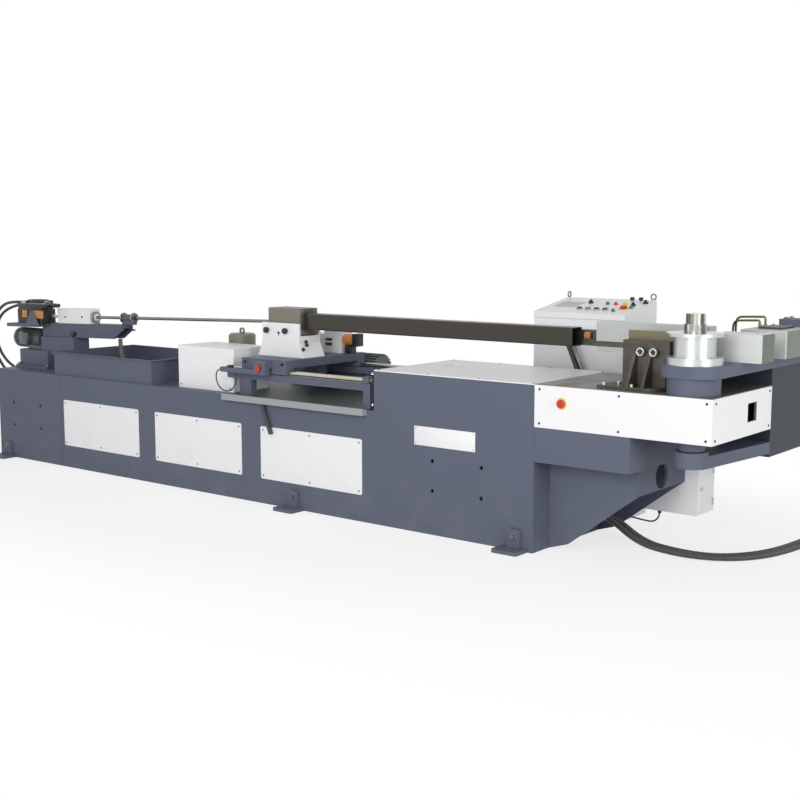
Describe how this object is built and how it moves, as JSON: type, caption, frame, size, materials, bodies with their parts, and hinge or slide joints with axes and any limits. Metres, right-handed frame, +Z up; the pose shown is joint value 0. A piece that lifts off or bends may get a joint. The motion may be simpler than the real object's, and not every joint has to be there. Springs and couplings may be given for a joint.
{
  "type": "pipe bending machine",
  "caption": "Hydraulic rotary draw bender for square tube with bending arm, pressure and clamp dies, feed carriage, mandrel unit and console.",
  "frame": {"origin": "on the floor, in the middle of the four corner floor anchors", "axes": "+X along the bed towards the bending head, +Y to the rear of the machine, +Z up"},
  "size_m": [6.4098, 1.3975, 1.3224],
  "materials": {
    "frame_paint": "satin hammered slate grey paint",
    "white_sheet": "semi gloss white powder coat",
    "machined_steel": "ground steel",
    "bright_steel": "polished hard chrome",
    "tube_steel": "dark mill finish steel tube",
    "chuck_olive": "olive grey enamel",
    "tool_grey": "light grey green tool steel, oiled",
    "plate_steel": "brownish oiled steel plate",
    "dark_steel": "blackened steel",
    "brown_cast": "dark oiled casting",
    "olive_bronze": "dull aluminium bronze",
    "motor_green": "dark green enamel",
    "olive_paint": "olive enamel",
    "tray_grey": "pale grey paint",
    "black_plastic": "matt black",
    "red_plastic": "gloss red",
    "green_plastic": "gloss green",
    "hose_rubber": "matt black hose",
    "conduit_grey": "grey olive corrugated conduit"
  },
  "bodies": {
    "frame": {"bed_frame": "frame_paint", "anchor_feet": "frame_paint", "access_panels": "white_sheet", "head_frame": "frame_paint", "nose_support": "frame_paint", "nose_top_plate": "plate_steel", "head_cover": "white_sheet", "nose_panels": "white_sheet", "spindle_housings": "frame_paint", "spindle_bearings": "bright_steel", "bend_motor": "dark_steel", "wiper_holder": "brown_cast", "wiper_die": "olive_bronze", "pressure_base": "machined_steel", "oil_tray": "frame_paint", "tail_tower": "frame_paint", "mandrel_beam": "frame_paint", "mandrel_cylinder": "dark_steel", "tail_motor": "motor_green", "drive_cover": "white_sheet", "feed_gearbox": "olive_paint", "rail_beams": "frame_paint", "guide_rails": "bright_steel", "drip_tray": "tray_grey", "pump_motor": "motor_green", "console_cabinet": "white_sheet", "junction_box": "white_sheet", "floor_conduits": "conduit_grey", "conduit_connectors": "dark_steel", "tail_hoses": "hose_rubber"},
    "arm": {"arm_top_plate": "frame_paint", "arm_post": "frame_paint", "arm_bottom_plate": "frame_paint", "spindle": "machined_steel", "bend_die": "machined_steel", "die_nut": "machined_steel", "bend_gear": "machined_steel", "clamp_cylinder": "tool_grey"},
    "clamp": {"clamp_die": "tool_grey"},
    "pinion": {"drive_pinion": "machined_steel"},
    "pressure_table": {"pressure_slide": "machined_steel"},
    "pressure_shoe": {"pressure_die": "tool_grey"},
    "carriage": {"carriage_plate": "frame_paint", "chuck_body": "chuck_olive", "chuck_housing": "white_sheet", "chuck_drive": "white_sheet", "estop_cable": "hose_rubber"},
    "chuck_collet": {"collet": "dark_steel", "tube": "tube_steel"},
    "screw": {"feed_screw": "bright_steel"},
    "mandrel": {"mandrel_rod": "bright_steel", "crosshead": "white_sheet"},
    "handle": {"lock_handle": "dark_steel"},
    "console_stop": {"console_estop": "red_plastic"},
    "button_1": {"push_button_1": "green_plastic"},
    "button_2": {"push_button_2": "black_plastic"},
    "button_3": {"push_button_3": "black_plastic"},
    "button_4": {"push_button_4": "red_plastic"},
    "nose_stop": {"nose_estop": "red_plastic"},
    "carriage_stop": {"carriage_estop": "red_plastic"}
  },
  "joints": [
    {"name": "arm_swing", "type": "hinge", "parent": "frame", "child": "arm", "pos_m": [3.219, -0.242, 0.984], "axis": [0, 0, -1], "range_deg": [0, 185]},
    {"name": "pinion_spin", "type": "hinge", "parent": "frame", "child": "pinion", "pos_m": [3.075, -0.242, 0.77], "axis": [0, 0, -1], "range_deg": [-560, 0]},
    {"name": "clamp_close", "type": "slide", "parent": "arm", "child": "clamp", "axis": [0, 1, 0], "range_m": [0, 0.12]},
    {"name": "pressure_close", "type": "slide", "parent": "frame", "child": "pressure_table", "axis": [0, 1, 0], "range_m": [0, 0.08]},
    {"name": "pressure_follow", "type": "slide", "parent": "pressure_table", "child": "pressure_shoe", "axis": [1, 0, 0], "range_m": [0, 0.495]},
    {"name": "carriage_feed", "type": "slide", "parent": "frame", "child": "carriage", "axis": [1, 0, 0], "range_m": [-0.09, 0.55]},
    {"name": "screw_spin", "type": "hinge", "parent": "frame", "child": "screw", "pos_m": [0.088, 0.118, 0.748], "axis": [1, 0, 0], "range_deg": [-820, 4960]},
    {"name": "chuck_turn", "type": "hinge", "parent": "carriage", "child": "chuck_collet", "pos_m": [0.27, -0.09, 1.131], "axis": [1, 0, 0], "range_deg": [-180, 180]},
    {"name": "mandrel_draw", "type": "slide", "parent": "frame", "child": "mandrel", "axis": [-0.9997, 0, -0.0262], "range_m": [0, 0.15]},
    {"name": "handle_turn", "type": "hinge", "parent": "frame", "child": "handle", "pos_m": [-1.18006, -0.09, 1.03083], "axis": [-0.0262, 0, 0.9997], "range_deg": [0, 180]},
    {"name": "console_stop_press", "type": "slide", "parent": "frame", "child": "console_stop", "axis": [0, 0.1718, -0.9851], "range_m": [0, 0.006], "stiffness_N_per_m": 2000, "springref_m": -0.002},
    {"name": "button_1_press", "type": "slide", "parent": "frame", "child": "button_1", "axis": [0, 0.1718, -0.9851], "range_m": [0, 0.005], "stiffness_N_per_m": 2000, "springref_m": -0.002},
    {"name": "button_2_press", "type": "slide", "parent": "frame", "child": "button_2", "axis": [0, 0.1718, -0.9851], "range_m": [0, 0.005], "stiffness_N_per_m": 2000, "springref_m": -0.002},
    {"name": "button_3_press", "type": "slide", "parent": "frame", "child": "button_3", "axis": [0, 0.1718, -0.9851], "range_m": [0, 0.005], "stiffness_N_per_m": 2000, "springref_m": -0.002},
    {"name": "button_4_press", "type": "slide", "parent": "frame", "child": "button_4", "axis": [0, 0.1718, -0.9851], "range_m": [0, 0.005], "stiffness_N_per_m": 2000, "springref_m": -0.002},
    {"name": "nose_stop_press", "type": "slide", "parent": "frame", "child": "nose_stop", "axis": [0, 1, 0], "range_m": [0, 0.006], "stiffness_N_per_m": 2000, "springref_m": -0.002},
    {"name": "carriage_stop_press", "type": "slide", "parent": "carriage", "child": "carriage_stop", "axis": [0, 1, 0], "range_m": [0, 0.006], "stiffness_N_per_m": 2000, "springref_m": -0.002}
  ],
  "couplings": [
    {"joint": "pinion_spin", "follows": "arm_swing", "ratio": -3},
    {"joint": "pressure_follow", "follows": "arm_swing", "m_per_rad": 0.152},
    {"joint": "screw_spin", "follows": "carriage_feed", "rad_per_m": 157.08}
  ]
}
